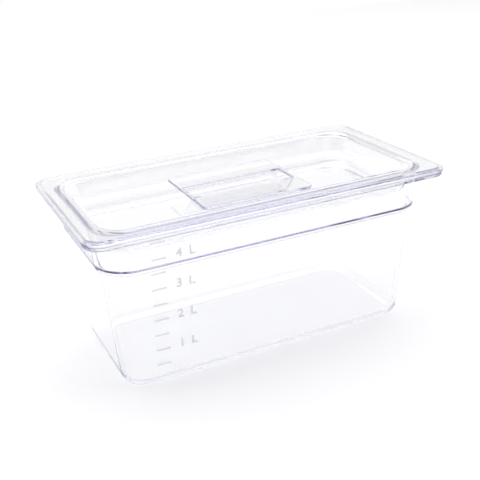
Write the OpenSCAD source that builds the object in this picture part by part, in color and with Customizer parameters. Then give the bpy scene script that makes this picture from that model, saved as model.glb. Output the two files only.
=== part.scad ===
// Clear third-size gastronorm food pan, 150 mm deep class, with a recessed lift-off lid.
// The pan is one moulding. The lid is a second moulding, and its grip is a third,
// welded to the lid's sunk floor. Origin: centre of the footprint, on the resting surface.

/* [Pan] */
// Length of the pan and lid over their rims
rim_length = 325; // [300:1:350]
// Width of the pan and lid over their rims
rim_width = 176; // [165:1:190]
// Height of the pan without its lid
pan_height = 145; // [120:1:180]
// Wall thickness of the pan
wall = 2.8; // [2:0.1:3.5]
// Thickness of the pan's floor
floor_thickness = 3.2; // [2.5:0.1:5]
// Thickness of the pan's rim
rim_thickness = 2.8; // [2.4:0.1:3.4]
// Height of the lip that turns down around the rim
lip_height = 4.2; // [3.6:0.1:7]
// Width of the sloping band along the pan's rim and the lid's edge
edge_band = 4; // [2:0.1:5]
// Corner radius of the rims
rim_corner = 16; // [12:1:22]

/* [Collar] */
// Length over the straight collar under the rim, at its foot
collar_length = 296.6; // [280:0.2:302]
// Width over the straight collar under the rim, at its foot
collar_width = 150; // [146:0.2:156]
// Corner radius of the collar
collar_corner = 30; // [24:0.5:36]
// Depth of the stacking shoulder below the rim's top face
shoulder_depth = 34.5; // [26:0.1:45]
// How far the shoulder steps in
shoulder_step = 4; // [3:0.1:6]

/* [Tapered body] */
// How far each long side draws in from the shoulder to the base
body_draft = 7; // [4:0.1:12]
// Radius between the walls and the base
base_fillet = 18.5; // [8:0.5:20]
// Corner radius of the body under the shoulder
body_corner = 25; // [20:0.5:28]
// Corner radius of the body where the walls meet the base fillet
base_corner = 20; // [19:0.5:26]

/* [Capacity scale] */
// Number of half-litre marks
mark_count = 9; // [5:1:9]
// Height of the lowest mark above the base
first_mark_height = 19.6; // [18:0.1:30]
// Height between half-litre marks
mark_pitch = 14.2; // [12:0.1:14.4]
// Length of a mark
mark_length = 12; // [8:1:16]

/* [Lid] */
// Thickness of the lid's flange
lid_flange_thickness = 3; // [2:0.1:4]
// How far the lid's edge stands out past the pan's rim
lid_overhang = 0.8; // [0.6:0.1:1.2]
// Length of the sunk panel's mouth
well_length = 286; // [270:0.2:288]
// Width of the sunk panel's mouth
well_width = 138; // [124:0.2:140]
// Depth from the lid's top face to the sunk floor
well_depth = 22; // [18:0.5:24]
// Wall thickness of the lid
lid_wall = 2.4; // [2:0.1:3]

/* [Grip] */
// Length of the grip plate
grip_length = 101.4; // [98:0.2:120]
// Width of the grip plate
grip_width = 89.6; // [70:0.2:100]
// Thickness of the grip plate
grip_thickness = 2.4; // [2:0.1:4]
// Depth of the grip plate's top face below the lid's top face
grip_drop = 8.4; // [4:0.1:10]
// Length of the trough's mouth
trough_length = 96.4; // [70:0.2:97]
// Width of the trough's mouth
trough_width = 28.4; // [20:0.2:40]

/* [Hidden] */

clear = [0.86, 0.88, 0.95, 0.45];
clear_edge = [0.78, 0.80, 0.93, 0.6];

curve_steps = 32;        // facets in a full turn on the hulled shells
fillet_steps = 6;        // facets across a bottom fillet
mesh_skin = 0.01;        // thickness of a hull's flat end slices
overlap = 0.5;           // how far joined solids run into each other
collar_flare = 1;        // extra half-size of the collar at the rim
shoulder_drop = 2.4;     // height of the shoulder's slope

lid_rim = [rim_length / 2, rim_width / 2];
pan_rim = lid_rim - [lid_overhang, lid_overhang];
pan_rim_corner = rim_corner - lid_overhang;
shoulder_z = pan_height - shoulder_depth;
collar_half = [collar_length / 2, collar_width / 2];
mouth_half = [collar_half[0] + collar_flare, collar_half[1] + collar_flare];
body_half = [collar_half[0] - shoulder_step, collar_half[1] - shoulder_step];
base_half = [body_half[0] - body_draft, body_half[1] - body_draft];

mark_thickness = 1.4;    // height of a mark's bar on the wall
mark_relief = 0.5;       // how far a mark stands off the wall
mark_left = -110.5;      // left end of the marks
body_rise = shoulder_z - shoulder_drop - base_fillet;
mark_draft = atan(body_draft / body_rise);

lid_top = pan_height + lid_flange_thickness;
well_floor_z = lid_top - well_depth;
well_mouth_half = [well_length / 2, well_width / 2];
well_draft = 2.4;        // how far each well wall draws in from mouth to floor
well_foot_half = [well_mouth_half[0] - well_draft, well_mouth_half[1] - well_draft];
well_corner = 21;
edge_drop = 2;           // how far the sloping bands run down
skirt_foot = 1.6;        // depth of the lid's skirt below its seat on the rim
skirt_flat = 0.6;        // width of the flat at the foot of the lid's skirt and of the pan's lip
well_fillet = 10;

grip_top = lid_top - grip_drop;
grip_corner = 5;
trough_slope = 9;        // how far each end wall of the trough leans in
trough_draft = 0.4;      // how far each long wall of the trough leans in
trough_wall = 1.8;

// Flat outline with round corners, centred on the origin
module rounded_outline(half, corner) {
    for (sx = [-1, 1], sy = [-1, 1])
        translate([sx * (half[0] - corner), sy * (half[1] - corner)])
            circle(r = corner, $fn = 96);
    square([2 * half[0], 2 * (half[1] - corner)], center = true);
    square([2 * (half[0] - corner), 2 * half[1]], center = true);
}

// Round foot of a tub's corner: a disc whose lower edge is a fillet
module corner_foot(corner, fillet) {
    core = corner - fillet;
    arc = [for (k = [0:fillet_steps])
        [core + fillet * sin(90 * k / fillet_steps), fillet - fillet * cos(90 * k / fillet_steps)]];
    rotate_extrude($fn = curve_steps)
        polygon(concat([[0, 0]], arc, [[0, fillet]]));
}

// Solid tub from a filleted foot at z_foot to an open mouth at z_mouth.
// corners holds the corner radius at the foot, then at the mouth.
module tub(foot_half, mouth, corners, fillet, z_foot, z_mouth) {
    hull()
        for (sx = [-1, 1], sy = [-1, 1]) {
            translate([sx * (foot_half[0] - corners[0]), sy * (foot_half[1] - corners[0]), z_foot])
                corner_foot(corners[0], fillet);
            translate([sx * (mouth[0] - corners[1]), sy * (mouth[1] - corners[1]),
                       z_mouth - mesh_skin])
                cylinder(r = corners[1], h = mesh_skin, $fn = curve_steps);
        }
}

// Raised bars of the capacity scale on the front wall
module capacity_marks() {
    for (k = [0:mark_count - 1]) {
        z = first_mark_height + k * mark_pitch;
        on_collar = z > shoulder_z - shoulder_drop;
        face_y = on_collar ? collar_half[1] + collar_flare * (z - shoulder_z) / shoulder_depth
                           : base_half[1] + body_draft * (z - base_fillet) / body_rise;
        translate([mark_left, -face_y - mark_relief, z])
            rotate([on_collar ? 0 : -mark_draft, 0, 0])
                cube([mark_length, mark_relief + overlap + 0.5, mark_thickness]);
    }
}

// Flat slice of a rim's outline, drawn in from its edge
module rim_slice(half, corner, inset, z) {
    translate([0, 0, z])
        linear_extrude(mesh_skin)
            rounded_outline(half - [inset, inset], corner - inset);
}

// Rim plate with a sloping band along its edge and a lip turned down under it
module pan_rim_plate() {
    difference() {
        hull() {
            rim_slice(pan_rim, pan_rim_corner, 0, pan_height - lip_height);
            rim_slice(pan_rim, pan_rim_corner, 0, pan_height - edge_drop - mesh_skin);
            rim_slice(pan_rim, pan_rim_corner, edge_band, pan_height - mesh_skin);
        }
        hull() {
            rim_slice(pan_rim, pan_rim_corner, skirt_flat, pan_height - lip_height - overlap);
            rim_slice(pan_rim, pan_rim_corner, edge_band + skirt_flat,
                pan_height - rim_thickness - mesh_skin);
        }
    }
}

module pan_outer() {
    tub(base_half, body_half, [base_corner, body_corner], base_fillet,
        0, shoulder_z - shoulder_drop);
    hull() {
        translate([0, 0, shoulder_z - shoulder_drop - mesh_skin])
            linear_extrude(mesh_skin) rounded_outline(body_half, body_corner);
        translate([0, 0, shoulder_z])
            linear_extrude(mesh_skin) rounded_outline(collar_half, collar_corner);
        translate([0, 0, pan_height - rim_thickness])
            linear_extrude(mesh_skin) rounded_outline(mouth_half, collar_corner);
    }
    pan_rim_plate();
}

module pan_inner() {
    inset = [wall, wall];
    tub(base_half - inset, body_half - inset, [base_corner - wall, body_corner - wall],
        base_fillet - wall, floor_thickness, shoulder_z + wall - shoulder_drop);
    hull() {
        translate([0, 0, shoulder_z + wall - shoulder_drop - 2 * mesh_skin])
            linear_extrude(mesh_skin) rounded_outline(body_half - inset, body_corner - wall);
        translate([0, 0, shoulder_z + wall])
            linear_extrude(mesh_skin) rounded_outline(collar_half - inset, collar_corner - wall);
        translate([0, 0, pan_height + overlap])
            linear_extrude(mesh_skin) rounded_outline(mouth_half - inset, collar_corner - wall);
    }
}

module pan_body() {
    color(clear) {
        difference() {
            pan_outer();
            pan_inner();
        }
        capacity_marks();
    }
}

// Flange whose edge slopes down past the pan's rim, at an even thickness
module lid_flange() {
    foot_z = pan_height - skirt_foot;
    difference() {
        hull() {
            rim_slice(lid_rim, rim_corner, 0, foot_z);
            rim_slice(lid_rim, rim_corner, 0, lid_top - edge_drop);
            rim_slice(lid_rim, rim_corner, edge_band, lid_top - mesh_skin);
        }
        hull() {
            rim_slice(lid_rim, rim_corner, skirt_flat, foot_z - mesh_skin);
            rim_slice(lid_rim, rim_corner, edge_band + skirt_flat, pan_height - mesh_skin);
        }
    }
}

module lid_cover() {
    inset = [lid_wall, lid_wall];
    corners = [well_corner, well_corner];
    color(clear) difference() {
        union() {
            lid_flange();
            tub(well_foot_half + inset, well_mouth_half + inset, corners + inset,
                well_fillet + lid_wall, well_floor_z - lid_wall, lid_top);
        }
        tub(well_foot_half, well_mouth_half, corners, well_fillet,
            well_floor_z, lid_top + overlap);
    }
}

// Straight-sided trough that narrows to its foot, as a solid
module trough_solid(grow, z_foot, z_mouth) {
    depth_span = grip_top - well_floor_z;
    lean = [trough_slope, trough_draft] / depth_span;
    foot = [trough_length / 2 + grow, trough_width / 2 + grow] - lean * (grip_top - z_foot);
    mouth = [trough_length / 2 + grow, trough_width / 2 + grow] - lean * (grip_top - z_mouth);
    hull() {
        translate([-foot[0], -foot[1], z_foot])
            cube([2 * foot[0], 2 * foot[1], mesh_skin]);
        translate([-mouth[0], -mouth[1], z_mouth - mesh_skin])
            cube([2 * mouth[0], 2 * mouth[1], mesh_skin]);
    }
}

module lid_grip() {
    color(clear_edge) difference() {
        union() {
            translate([0, 0, grip_top - grip_thickness])
                linear_extrude(grip_thickness)
                    rounded_outline([grip_length / 2, grip_width / 2], grip_corner);
            trough_solid(trough_wall, well_floor_z, grip_top - overlap);
        }
        trough_solid(0, well_floor_z + trough_wall, grip_top + overlap);
    }
}

pan_body();
lid_cover();
lid_grip();
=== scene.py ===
import math

import bmesh
import bpy
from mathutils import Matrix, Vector


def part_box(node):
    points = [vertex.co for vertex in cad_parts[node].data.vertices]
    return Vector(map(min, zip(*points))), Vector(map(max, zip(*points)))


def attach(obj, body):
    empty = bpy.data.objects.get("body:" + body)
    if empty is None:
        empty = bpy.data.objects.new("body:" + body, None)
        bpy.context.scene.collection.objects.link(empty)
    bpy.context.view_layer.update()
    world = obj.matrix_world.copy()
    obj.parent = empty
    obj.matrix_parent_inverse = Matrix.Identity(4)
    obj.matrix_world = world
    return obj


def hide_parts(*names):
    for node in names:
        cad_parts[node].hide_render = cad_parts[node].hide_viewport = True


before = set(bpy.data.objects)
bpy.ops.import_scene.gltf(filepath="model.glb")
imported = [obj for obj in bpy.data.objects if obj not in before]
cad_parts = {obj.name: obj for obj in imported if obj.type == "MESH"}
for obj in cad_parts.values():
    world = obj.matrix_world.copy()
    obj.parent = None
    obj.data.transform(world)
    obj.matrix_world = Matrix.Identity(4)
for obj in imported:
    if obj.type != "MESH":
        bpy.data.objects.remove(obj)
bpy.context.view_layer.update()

MM = 0.001


def grown(half, by):
    """A rectangle's half sizes, made larger by the same amount all round."""
    return (half[0] + by, half[1] + by)


# ---------------------------------------------------------------- sizes, in mm, from the frame
_, pan_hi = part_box("pan_body")
lid_lo, lid_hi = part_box("lid_cover")
_, grip_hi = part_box("lid_grip")

PAN_RIM = (pan_hi.x / MM, pan_hi.y / MM)
LID_RIM = (lid_hi.x / MM, lid_hi.y / MM)
LID_CORNER = 16.0
PAN_CORNER = 15.2
EDGE_BAND = 4.0  # width of the sloping band along each rim's edge
EDGE_DROP = 2.0  # how far that band runs down
SKIRT_FOOT = 1.6
SKIRT_FLAT = 0.6
PAN_TOP = pan_hi.z / MM
LID_TOP = lid_hi.z / MM
GRIP_TOP = grip_hi.z / MM
WELL_UNDER = lid_lo.z / MM
LID_WALL = 2.4
WELL_FLOOR = WELL_UNDER + LID_WALL
SEAT_GAP = 0.15  # clear faces that rest on each other stay this far apart

WALL = 2.8
PAN_FLOOR = 3.2
RIM_THICK = 2.8
LIP_HEIGHT = 4.2
LIP_SLOPE_TOP = EDGE_BAND + SKIRT_FLAT  # how far in the lip's inner slope meets the rim's underside
SHOULDER = PAN_TOP - 34.5
SHOULDER_DROP = 2.4
SHOULDER_STEP = 4.0
COLLAR = (148.3, 75.0)
COLLAR_FLARE = 1.0
COLLAR_CORNER = 30.0
BODY = grown(COLLAR, -SHOULDER_STEP)
BODY_CORNER = 25.0
BODY_DRAFT = 7.0
BASE_CORNER = 20.0
BASE_FILLET = 18.5
BODY_SLOPE = BODY_DRAFT / (SHOULDER - SHOULDER_DROP - BASE_FILLET)

WELL_MOUTH = (143.0, 69.0)
WELL_CORNER = 21.0
WELL_FILLET = 10.0
WELL_SLOPE = 0.2

GRIP = (grip_hi.x / MM, grip_hi.y / MM)
GRIP_CORNER = 5.0
GRIP_THICK = 2.4
GRIP_EDGE = 1.2  # how far in from the plate's edge a ring keeps its faces flat
TROUGH = (48.2, 14.2)
TROUGH_LEAN = (9.0, 0.4)
TROUGH_WALL = 1.8
TROUGH_EDGE = 1.1  # how far out from the trough's mouth a ring keeps the plate flat

CORNER_STEPS = 14
SIDE_STEPS = (10, 5)
SUPPORT = 1.1  # distance from a bend to the ring that keeps the flat beside it flat
POINT_CORNER = 1.0  # corner radius of the pan's two closing rings


# ---------------------------------------------------------------- lofted shells
def ring_points(hx, hy, corner, z):
    """Points round a rectangle with round corners, in the same order and number for every ring."""
    signs = ((1, 1), (-1, 1), (-1, -1), (1, -1))
    arcs = []
    for quarter, (sx, sy) in enumerate(signs):
        cx, cy = sx * (hx - corner), sy * (hy - corner)
        arcs.append([
            Vector((
                cx + corner * math.cos(math.pi / 2 * (quarter + k / CORNER_STEPS)),
                cy + corner * math.sin(math.pi / 2 * (quarter + k / CORNER_STEPS)),
                z,
            ))
            for k in range(CORNER_STEPS + 1)
        ])
    points = []
    for quarter, arc in enumerate(arcs):
        points += arc
        start, stop = arc[-1], arcs[(quarter + 1) % 4][0]
        steps = SIDE_STEPS[quarter % 2]
        side = (stop - start).length
        edge = min(SUPPORT, side * 0.1) / side
        for k in range(steps + 1):
            points.append(start.lerp(stop, edge + (1 - 2 * edge) * k / steps))
    return points


def rounded_profile(profile):
    """Rings (hx, hy, corner, z) through the profile's points, each turned on its own radius."""
    rows = [(Vector(p[:4]), p[4]) for p in profile]

    def span(a, b):
        d = b - a
        return Vector((max(abs(d[0]), abs(d[1])), d[3])).length

    rings = [rows[0][0]]
    for (before, _), (here, radius), (after, _) in zip(rows, rows[1:], rows[2:]):
        into, out = span(before, here), span(here, after)
        a = Vector((here[0] - before[0], here[3] - before[3]))
        b = Vector((after[0] - here[0], after[3] - here[3]))
        turn = a.angle(b) if a.length > 1e-6 and b.length > 1e-6 else math.pi / 2
        tangent = min(radius * math.tan(turn / 2), into * 0.48, out * 0.48)
        start = here.lerp(before, tangent / into)
        stop = here.lerp(after, tangent / out)
        pad = min(SUPPORT * 0.5, tangent)
        if into > 2 * tangent + 2 * pad:
            rings.append(here.lerp(before, (tangent + pad) / into))
        weight = math.cos(turn / 2)
        steps = max(3, min(12, int(round(radius * turn * 1.1)) + 2))
        for k in range(steps + 1):
            t = k / steps
            c0, c1, c2 = (1 - t) ** 2, 2 * weight * t * (1 - t), t * t
            rings.append((start * c0 + here * c1 + stop * c2) / (c0 + c1 + c2))
        if out > 2 * tangent + 2 * pad:
            rings.append(here.lerp(after, (tangent + pad) / out))
    rings.append(rows[-1][0])
    return rings


def shell(name, profile, body, node, material):
    """One closed solid that stands for a CAD node, lofted ring by ring.

    Each row of the profile is half length, half width, corner radius, height and bend radius, from
    the middle of the underside round the edge to the middle of the inside.
    """
    bm = bmesh.new()
    loops = []
    for hx, hy, corner, z in rounded_profile(profile):
        loops.append([bm.verts.new(p * MM) for p in ring_points(hx, hy, corner, z)])
    for lower, upper in zip(loops, loops[1:]):
        count = len(lower)
        for k in range(count):
            n = (k + 1) % count
            bm.faces.new((lower[k], lower[n], upper[n], upper[k]))
    bm.faces.new(reversed(loops[0]))
    bm.faces.new(loops[-1])
    bmesh.ops.remove_doubles(bm, verts=bm.verts, dist=1e-7)
    bmesh.ops.dissolve_degenerate(bm, edges=bm.edges, dist=1e-7)
    bmesh.ops.recalc_face_normals(bm, faces=bm.faces)
    mesh = bpy.data.meshes.new(name)
    bm.to_mesh(mesh)
    bm.free()
    for poly in mesh.polygons:
        poly.use_smooth = True
    ob = bpy.data.objects.new(name, mesh)
    bpy.context.scene.collection.objects.link(ob)
    mesh.materials.append(material)
    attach(ob, body)
    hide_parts(node)


# ---------------------------------------------------------------- materials
REFRACTION = 1.585  # polycarbonate
PATH_COLOUR = (0.36, 0.375, 0.64, 1.0)  # what a long path in the plastic lets through
LAMP_COLOUR = (0.985, 0.986, 0.99, 1.0)  # what each face passes of the light that casts shadows
SURFACE_WAVE = 0.015
WAVE_SCALE = 9.0
HAZE = 0.03


def clear_plastic(name, tint, density):
    """Polished clear polycarbonate: bends light, faintly violet in long paths, gently uneven."""
    mat = bpy.data.materials.new(name)
    mat.use_nodes = True
    nt = mat.node_tree
    nt.nodes.clear()
    out = nt.nodes.new("ShaderNodeOutputMaterial")
    main = nt.nodes.new("ShaderNodeBsdfPrincipled")
    main.inputs["Base Color"].default_value = (*tint, 1.0)
    main.inputs["Transmission Weight"].default_value = 1.0
    main.inputs["IOR"].default_value = REFRACTION
    main.inputs["Roughness"].default_value = 0.0

    coords = nt.nodes.new("ShaderNodeTexCoord")
    noise = nt.nodes.new("ShaderNodeTexNoise")
    noise.inputs["Scale"].default_value = WAVE_SCALE
    noise.inputs["Detail"].default_value = 2.0
    nt.links.new(coords.outputs["Object"], noise.inputs["Vector"])
    bump = nt.nodes.new("ShaderNodeBump")
    bump.inputs["Strength"].default_value = SURFACE_WAVE
    bump.inputs["Distance"].default_value = 0.001
    nt.links.new(noise.outputs["Fac"], bump.inputs["Height"])
    nt.links.new(bump.outputs["Normal"], main.inputs["Normal"])
    haze = nt.nodes.new("ShaderNodeMapRange")
    haze.inputs["To Min"].default_value = 0.0
    haze.inputs["To Max"].default_value = HAZE
    nt.links.new(noise.outputs["Fac"], haze.inputs["Value"])
    nt.links.new(haze.outputs["Result"], main.inputs["Roughness"])

    see = nt.nodes.new("ShaderNodeBsdfTransparent")
    see.inputs["Color"].default_value = LAMP_COLOUR
    path = nt.nodes.new("ShaderNodeLightPath")
    mix = nt.nodes.new("ShaderNodeMixShader")
    nt.links.new(path.outputs["Is Shadow Ray"], mix.inputs[0])
    nt.links.new(main.outputs[0], mix.inputs[1])
    nt.links.new(see.outputs[0], mix.inputs[2])
    nt.links.new(mix.outputs[0], out.inputs["Surface"])

    absorb = nt.nodes.new("ShaderNodeVolumeAbsorption")
    absorb.inputs["Color"].default_value = PATH_COLOUR
    absorb.inputs["Density"].default_value = density
    nt.links.new(absorb.outputs[0], out.inputs["Volume"])
    return mat


def frosted_mark(name):
    """Matt moulded marks: pale, half see-through, finely uneven."""
    mat = bpy.data.materials.new(name)
    mat.use_nodes = True
    nt = mat.node_tree
    main = nt.nodes["Principled BSDF"]
    noise = nt.nodes.new("ShaderNodeTexNoise")
    noise.inputs["Scale"].default_value = 900
    matt = nt.nodes.new("ShaderNodeMapRange")
    matt.inputs["To Min"].default_value = 0.45
    matt.inputs["To Max"].default_value = 0.7
    nt.links.new(noise.outputs["Fac"], matt.inputs["Value"])
    nt.links.new(matt.outputs["Result"], main.inputs["Roughness"])
    main.inputs["Base Color"].default_value = (0.94, 0.94, 0.96, 1.0)
    main.inputs["Alpha"].default_value = 0.5
    return mat


SHELL_TINT = (0.975, 0.975, 0.978)
GRIP_TINT = (0.98, 0.98, 0.983)
pan_mat = clear_plastic("pan_polycarbonate", SHELL_TINT, 4.0)
lid_mat = clear_plastic("lid_polycarbonate", SHELL_TINT, 4.0)
grip_mat = clear_plastic("grip_polycarbonate", GRIP_TINT, 8.0)
mark_mat = frosted_mark("frosted_marks")

# ---------------------------------------------------------------- pan
base = grown(BODY, -BODY_SLOPE * (SHOULDER - SHOULDER_DROP))
inner_body = grown(BODY, -WALL)
inner_top = SHOULDER + WALL - SHOULDER_DROP
inner_slope = BODY_DRAFT / (inner_top - BASE_FILLET - PAN_FLOOR + WALL)
inner_base = grown(inner_body, -inner_slope * (inner_top - PAN_FLOOR))
mouth = grown(COLLAR, COLLAR_FLARE - WALL)

pan_profile = [
    (*grown(base, POINT_CORNER - BASE_CORNER), POINT_CORNER, 0, 0),
    (*base, BASE_CORNER, 0, BASE_FILLET),
    (*BODY, BODY_CORNER, SHOULDER - SHOULDER_DROP, 1.4),
    (*COLLAR, COLLAR_CORNER, SHOULDER, 1.1),
    (*grown(COLLAR, COLLAR_FLARE), COLLAR_CORNER, PAN_TOP - RIM_THICK, 2.0),
    (*grown(PAN_RIM, -LIP_SLOPE_TOP), PAN_CORNER - LIP_SLOPE_TOP, PAN_TOP - RIM_THICK, 0.8),
    (*grown(PAN_RIM, -SKIRT_FLAT), PAN_CORNER - SKIRT_FLAT, PAN_TOP - LIP_HEIGHT, 0.2),
    (*PAN_RIM, PAN_CORNER, PAN_TOP - LIP_HEIGHT, 0.3),
    (*PAN_RIM, PAN_CORNER, PAN_TOP - EDGE_DROP, 0.5),
    (*grown(PAN_RIM, -EDGE_BAND), PAN_CORNER - EDGE_BAND, PAN_TOP, 1.2),
    (*mouth, COLLAR_CORNER - WALL, PAN_TOP, 1.0),
    (*grown(COLLAR, -WALL), COLLAR_CORNER - WALL, SHOULDER + WALL, 1.4),
    (*inner_body, BODY_CORNER - WALL, inner_top, 1.4),
    (*inner_base, BASE_CORNER - WALL, PAN_FLOOR, BASE_FILLET - WALL),
    (*grown(inner_base, POINT_CORNER - BASE_CORNER + WALL), POINT_CORNER, PAN_FLOOR, 0),
]
shell("pan_shell", pan_profile, "pan", "pan_body", pan_mat)

# ---------------------------------------------------------------- lid
seat = PAN_TOP + SEAT_GAP
well_foot = grown(WELL_MOUTH, -WELL_SLOPE * (LID_TOP - WELL_FLOOR))
under_mouth = grown(WELL_MOUTH, LID_WALL - WELL_SLOPE * (LID_TOP - seat))
under_foot = grown(WELL_MOUTH, LID_WALL - WELL_SLOPE * (LID_TOP - WELL_UNDER))
# How far in from the well's walls the closing rings lie, above and below its floor.
WELL_INSET, UNDER_INSET = 12.0, 14.0
lid_profile = [
    (*grown(under_foot, -UNDER_INSET), WELL_CORNER + LID_WALL - UNDER_INSET, WELL_UNDER, 0),
    (*under_foot, WELL_CORNER + LID_WALL, WELL_UNDER, WELL_FILLET + LID_WALL),
    (*under_mouth, WELL_CORNER + LID_WALL, seat, 1.6),
    (*grown(LID_RIM, -EDGE_BAND - SKIRT_FLAT), LID_CORNER - EDGE_BAND - SKIRT_FLAT, seat, 0.8),
    (*grown(LID_RIM, -SKIRT_FLAT), LID_CORNER - SKIRT_FLAT, seat - SKIRT_FOOT, 0.15),
    (*LID_RIM, LID_CORNER, seat - SKIRT_FOOT, 0.2),
    (*LID_RIM, LID_CORNER, LID_TOP - EDGE_DROP, 0.5),
    (*grown(LID_RIM, -EDGE_BAND), LID_CORNER - EDGE_BAND, LID_TOP, 0.8),
    (*WELL_MOUTH, WELL_CORNER, LID_TOP, 3.4),
    (*well_foot, WELL_CORNER, WELL_FLOOR, WELL_FILLET),
    (*grown(well_foot, -WELL_INSET), WELL_CORNER - WELL_INSET, WELL_FLOOR, 0),
]
shell("lid_shell", lid_profile, "lid", "lid_cover", lid_mat)

# ---------------------------------------------------------------- grip
foot_z = WELL_FLOOR + SEAT_GAP
lean = [x / (GRIP_TOP - WELL_FLOOR) for x in TROUGH_LEAN]


def trough_at(z, grow):
    """Half sizes of the trough at a height, as its walls lean in towards its floor."""
    down = GRIP_TOP - z
    return (TROUGH[0] + grow - lean[0] * down, TROUGH[1] + grow - lean[1] * down)


plate_under = GRIP_TOP - GRIP_THICK
outer_corner = 1.0 + TROUGH_WALL
trough_corner = 1.2
grip_profile = [
    (*grown(trough_at(foot_z, TROUGH_WALL), -2.5), 0.4, foot_z, 0),
    (*trough_at(foot_z, TROUGH_WALL), outer_corner, foot_z, 0.5),
    (*trough_at(plate_under, TROUGH_WALL), outer_corner, plate_under, 0.3),
    (*grown(GRIP, -GRIP_EDGE), GRIP_CORNER - GRIP_EDGE, plate_under, 0.2),
    (*GRIP, GRIP_CORNER, plate_under, 0.7),
    (*GRIP, GRIP_CORNER, GRIP_TOP, 0.7),
    (*grown(GRIP, -GRIP_EDGE), GRIP_CORNER - GRIP_EDGE, GRIP_TOP, 0.2),
    (*grown(TROUGH, TROUGH_EDGE), 2.0, GRIP_TOP, 0.2),
    (*TROUGH, trough_corner, GRIP_TOP, 0.6),
    (*trough_at(foot_z + TROUGH_WALL, 0), trough_corner, foot_z + TROUGH_WALL, 0.8),
    (*grown(trough_at(foot_z + TROUGH_WALL, 0), -2), 0.3, foot_z + TROUGH_WALL, 0),
]
shell("grip_handle", grip_profile, "lid", "lid_grip", grip_mat)

# ---------------------------------------------------------------- capacity scale
MARK_LEFT, MARK_LENGTH, MARK_TALL, MARK_PROUD = -110.5, 12.0, 1.4, 0.5
MARK_FIRST, MARK_PITCH, MARK_COUNT = 19.6, 14.2, 9
SUNK = 0.12  # how far a bar's foot is sunk in the wall
NUMERAL_LEFT, LITRE_LEFT = -90.6, -79.6
NUMERAL_DROP = -1.2
NUMERAL_SIZE = 11.0
NUMERAL_LIFT = 0.1  # from the wall to the middle of a numeral's thickness


def front_wall(z):
    """How far out the front wall's face is at a height, and its lean."""
    if z > SHOULDER:
        lean_here = COLLAR_FLARE / (PAN_TOP - RIM_THICK - SHOULDER)
        return COLLAR[1] + lean_here * (z - SHOULDER), math.atan(lean_here)
    return base[1] + BODY_SLOPE * z, math.atan(BODY_SLOPE)


def on_wall(bm, z0):
    """Moves flat work, drawn in XY with its thickness along Z, on to the front wall at z0."""
    out, tilt = front_wall(z0)
    for v in bm.verts:
        x, up, proud = v.co / MM
        v.co = Vector((
            x,
            -out - up * math.sin(tilt) - proud * math.cos(tilt),
            z0 + up * math.cos(tilt) - proud * math.sin(tilt),
        )) * MM


def bar(bm, x0, x1, y0, y1):
    """A raised bar with a soft top edge."""
    rows = ((0.0, -SUNK), (0.0, MARK_PROUD * 0.6), (0.25, MARK_PROUD))
    loops = []
    for inset, z in rows:
        corners = ((x0, y0, 1, 1), (x1, y0, -1, 1), (x1, y1, -1, -1), (x0, y1, 1, -1))
        loops.append([
            bm.verts.new(Vector((x + sx * inset, y + sy * inset, z)) * MM)
            for x, y, sx, sy in corners
        ])
    for lower, upper in zip(loops, loops[1:]):
        for k in range(4):
            n = (k + 1) % 4
            bm.faces.new((lower[k], lower[n], upper[n], upper[k]))
    bm.faces.new(reversed(loops[0]))
    bm.faces.new(loops[-1])


def lettering(bm, text, x):
    """Adds a numeral or letter, flat, with its left edge at x."""
    curve = bpy.data.curves.new("numeral", "FONT")
    curve.body = text
    curve.size = NUMERAL_SIZE * MM
    curve.extrude = 0.16 * MM
    curve.bevel_depth = 0.04 * MM
    curve.offset = 0.2 * MM
    curve.resolution_u = 6
    holder = bpy.data.objects.new("numeral", curve)
    bpy.context.scene.collection.objects.link(holder)
    bpy.context.view_layer.update()
    made = holder.evaluated_get(bpy.context.evaluated_depsgraph_get())
    mesh = bpy.data.meshes.new_from_object(made)
    for v in mesh.vertices:
        v.co = v.co + Vector((x, NUMERAL_DROP, NUMERAL_LIFT)) * MM
    bm.from_mesh(mesh)
    bpy.data.objects.remove(holder)
    bpy.data.curves.remove(curve)
    bpy.data.meshes.remove(mesh)


marks = bmesh.new()
for k in range(MARK_COUNT):
    level = MARK_FIRST + k * MARK_PITCH
    part = bmesh.new()
    bar(part, MARK_LEFT, MARK_LEFT + MARK_LENGTH, 0, MARK_TALL)
    if k % 2:
        lettering(part, str((k + 1) // 2), NUMERAL_LEFT)
        lettering(part, "L", LITRE_LEFT)
    on_wall(part, level)
    held = bpy.data.meshes.new("held")
    part.to_mesh(held)
    marks.from_mesh(held)
    bpy.data.meshes.remove(held)
    part.free()
bmesh.ops.remove_doubles(marks, verts=marks.verts, dist=1e-6)
bmesh.ops.recalc_face_normals(marks, faces=marks.faces)
mesh = bpy.data.meshes.new("capacity_scale")
marks.to_mesh(mesh)
marks.free()
mesh.materials.append(mark_mat)
scale_ob = bpy.data.objects.new("capacity_scale", mesh)
bpy.context.scene.collection.objects.link(scale_ob)
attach(scale_ob, "pan")

# ---------------------------------------------------------------- floor
FLOOR_HALF = 1.7
FLOOR_DROP = 0.0004  # keeps the clear base from sharing the floor's plane

floor_mesh = bpy.data.meshes.new("floor")
bm = bmesh.new()
bmesh.ops.create_grid(bm, x_segments=2, y_segments=2, size=FLOOR_HALF)
bm.to_mesh(floor_mesh)
bm.free()
floor = bpy.data.objects.new("floor", floor_mesh)
floor.location.z = -FLOOR_DROP
bpy.context.scene.collection.objects.link(floor)
floor_mat = bpy.data.materials.new("floor_paper")
floor_mat.use_nodes = True
floor_main = floor_mat.node_tree.nodes["Principled BSDF"]
floor_main.inputs["Base Color"].default_value = (0.9, 0.9, 0.9, 1)
floor_main.inputs["Roughness"].default_value = 0.9
floor_main.inputs["Specular IOR Level"].default_value = 0.1
floor_mesh.materials.append(floor_mat)

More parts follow.
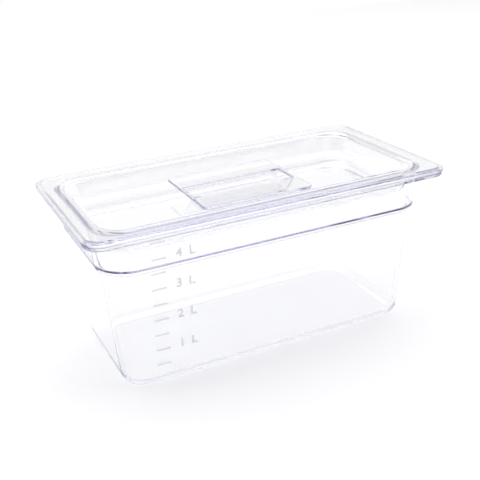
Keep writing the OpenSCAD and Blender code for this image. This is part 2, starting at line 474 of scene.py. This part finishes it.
# ---------------------------------------------------------------- light
CAMERA_AZIMUTH, CAMERA_ELEVATION, CAMERA_ROLL = (math.radians(a) for a in (-24.46, 23.40, -2.99))
CAMERA_SIDE = Vector((math.sin(CAMERA_AZIMUTH), -math.cos(CAMERA_AZIMUTH), 0.0))
STUDIO_STRENGTH = 0.90
OVERHEAD_PLACE = Vector((0, 0.2, 2.6))
OVERHEAD_SIZE = 5.0
OVERHEAD_POWER = 89

world = bpy.data.worlds.new("studio")
bpy.context.scene.world = world
world.use_nodes = True
wt = world.node_tree
wt.nodes.clear()
w_out = wt.nodes.new("ShaderNodeOutputWorld")
w_bg = wt.nodes.new("ShaderNodeBackground")
w_coords = wt.nodes.new("ShaderNodeTexCoord")
w_towards = wt.nodes.new("ShaderNodeVectorMath")
w_towards.operation = "DOT_PRODUCT"
w_towards.inputs[1].default_value = CAMERA_SIDE
wt.links.new(w_coords.outputs["Generated"], w_towards.inputs[0])
w_ramp = wt.nodes.new("ShaderNodeValToRGB")
# Colour by direction: white beside and behind the pan, dark on the camera's side, paler at its middle.
stops = [
    (0.0, (1.0, 1.0, 1.0)),
    (0.22, (1.0, 1.0, 1.0)),
    (0.30, (0.02, 0.02, 0.06)),
    (0.80, (0.02, 0.02, 0.06)),
    (1.0, (0.6, 0.6, 0.62)),
]
ramp = w_ramp.color_ramp
while len(ramp.elements) < len(stops):
    ramp.elements.new(0.5)  # placed below
for element, (place, colour) in zip(ramp.elements, stops):
    element.position = place
    element.color = (*colour, 1.0)
wt.links.new(w_towards.outputs["Value"], w_ramp.inputs[0])
wt.links.new(w_ramp.outputs["Color"], w_bg.inputs["Color"])
w_bg.inputs["Strength"].default_value = STUDIO_STRENGTH
w_white = wt.nodes.new("ShaderNodeBackground")
w_white.inputs["Color"].default_value = (1, 1, 1, 1)
w_path = wt.nodes.new("ShaderNodeLightPath")
w_mix = wt.nodes.new("ShaderNodeMixShader")
wt.links.new(w_path.outputs["Is Camera Ray"], w_mix.inputs[0])
wt.links.new(w_bg.outputs[0], w_mix.inputs[1])
wt.links.new(w_white.outputs[0], w_mix.inputs[2])
wt.links.new(w_mix.outputs[0], w_out.inputs["Surface"])

overhead = bpy.data.lights.new("overhead", "AREA")
overhead.shape = "RECTANGLE"
overhead.size = overhead.size_y = OVERHEAD_SIZE
overhead.energy = OVERHEAD_POWER
overhead_ob = bpy.data.objects.new("overhead", overhead)
overhead_ob.location = OVERHEAD_PLACE
overhead_ob.rotation_euler = (-OVERHEAD_PLACE).to_track_quat("-Z", "Y").to_euler()
bpy.context.scene.collection.objects.link(overhead_ob)

# ---------------------------------------------------------------- camera
CAMERA_DISTANCE = 0.74192
CAMERA_LENS = 61.18
aim = Vector((-1.2, 0.0, 83.84)) * MM
back = CAMERA_SIDE * math.cos(CAMERA_ELEVATION) + Vector((0, 0, math.sin(CAMERA_ELEVATION)))
right = (-back).cross(Vector((0, 0, 1))).normalized()
up = right.cross(-back).normalized()
cam_x = right * math.cos(CAMERA_ROLL) + up * math.sin(CAMERA_ROLL)
cam_y = up * math.cos(CAMERA_ROLL) - right * math.sin(CAMERA_ROLL)
cam_data = bpy.data.cameras.new("camera")
cam_data.sensor_width = 36.0
cam_data.lens = CAMERA_LENS
cam_data.clip_start = 0.01
cam_data.clip_end = 60.0
cam = bpy.data.objects.new("camera", cam_data)
bpy.context.scene.collection.objects.link(cam)
matrix = cam.matrix_world.to_3x3()
matrix.col[0], matrix.col[1], matrix.col[2] = cam_x, cam_y, back
cam.matrix_world = matrix.to_4x4()
cam.location = aim + back * CAMERA_DISTANCE
bpy.context.scene.camera = cam

LIGHT_BOUNCES = 200  # light runs the whole way down inside a clear wall before it comes out
SEE_THROUGH_LAYERS = 32
scene = bpy.context.scene
scene.view_settings.view_transform = "Standard"
scene.cycles.max_bounces = LIGHT_BOUNCES
scene.cycles.transmission_bounces = LIGHT_BOUNCES
scene.cycles.glossy_bounces = LIGHT_BOUNCES
scene.cycles.transparent_max_bounces = SEE_THROUGH_LAYERS

bpy.context.view_layer.update()
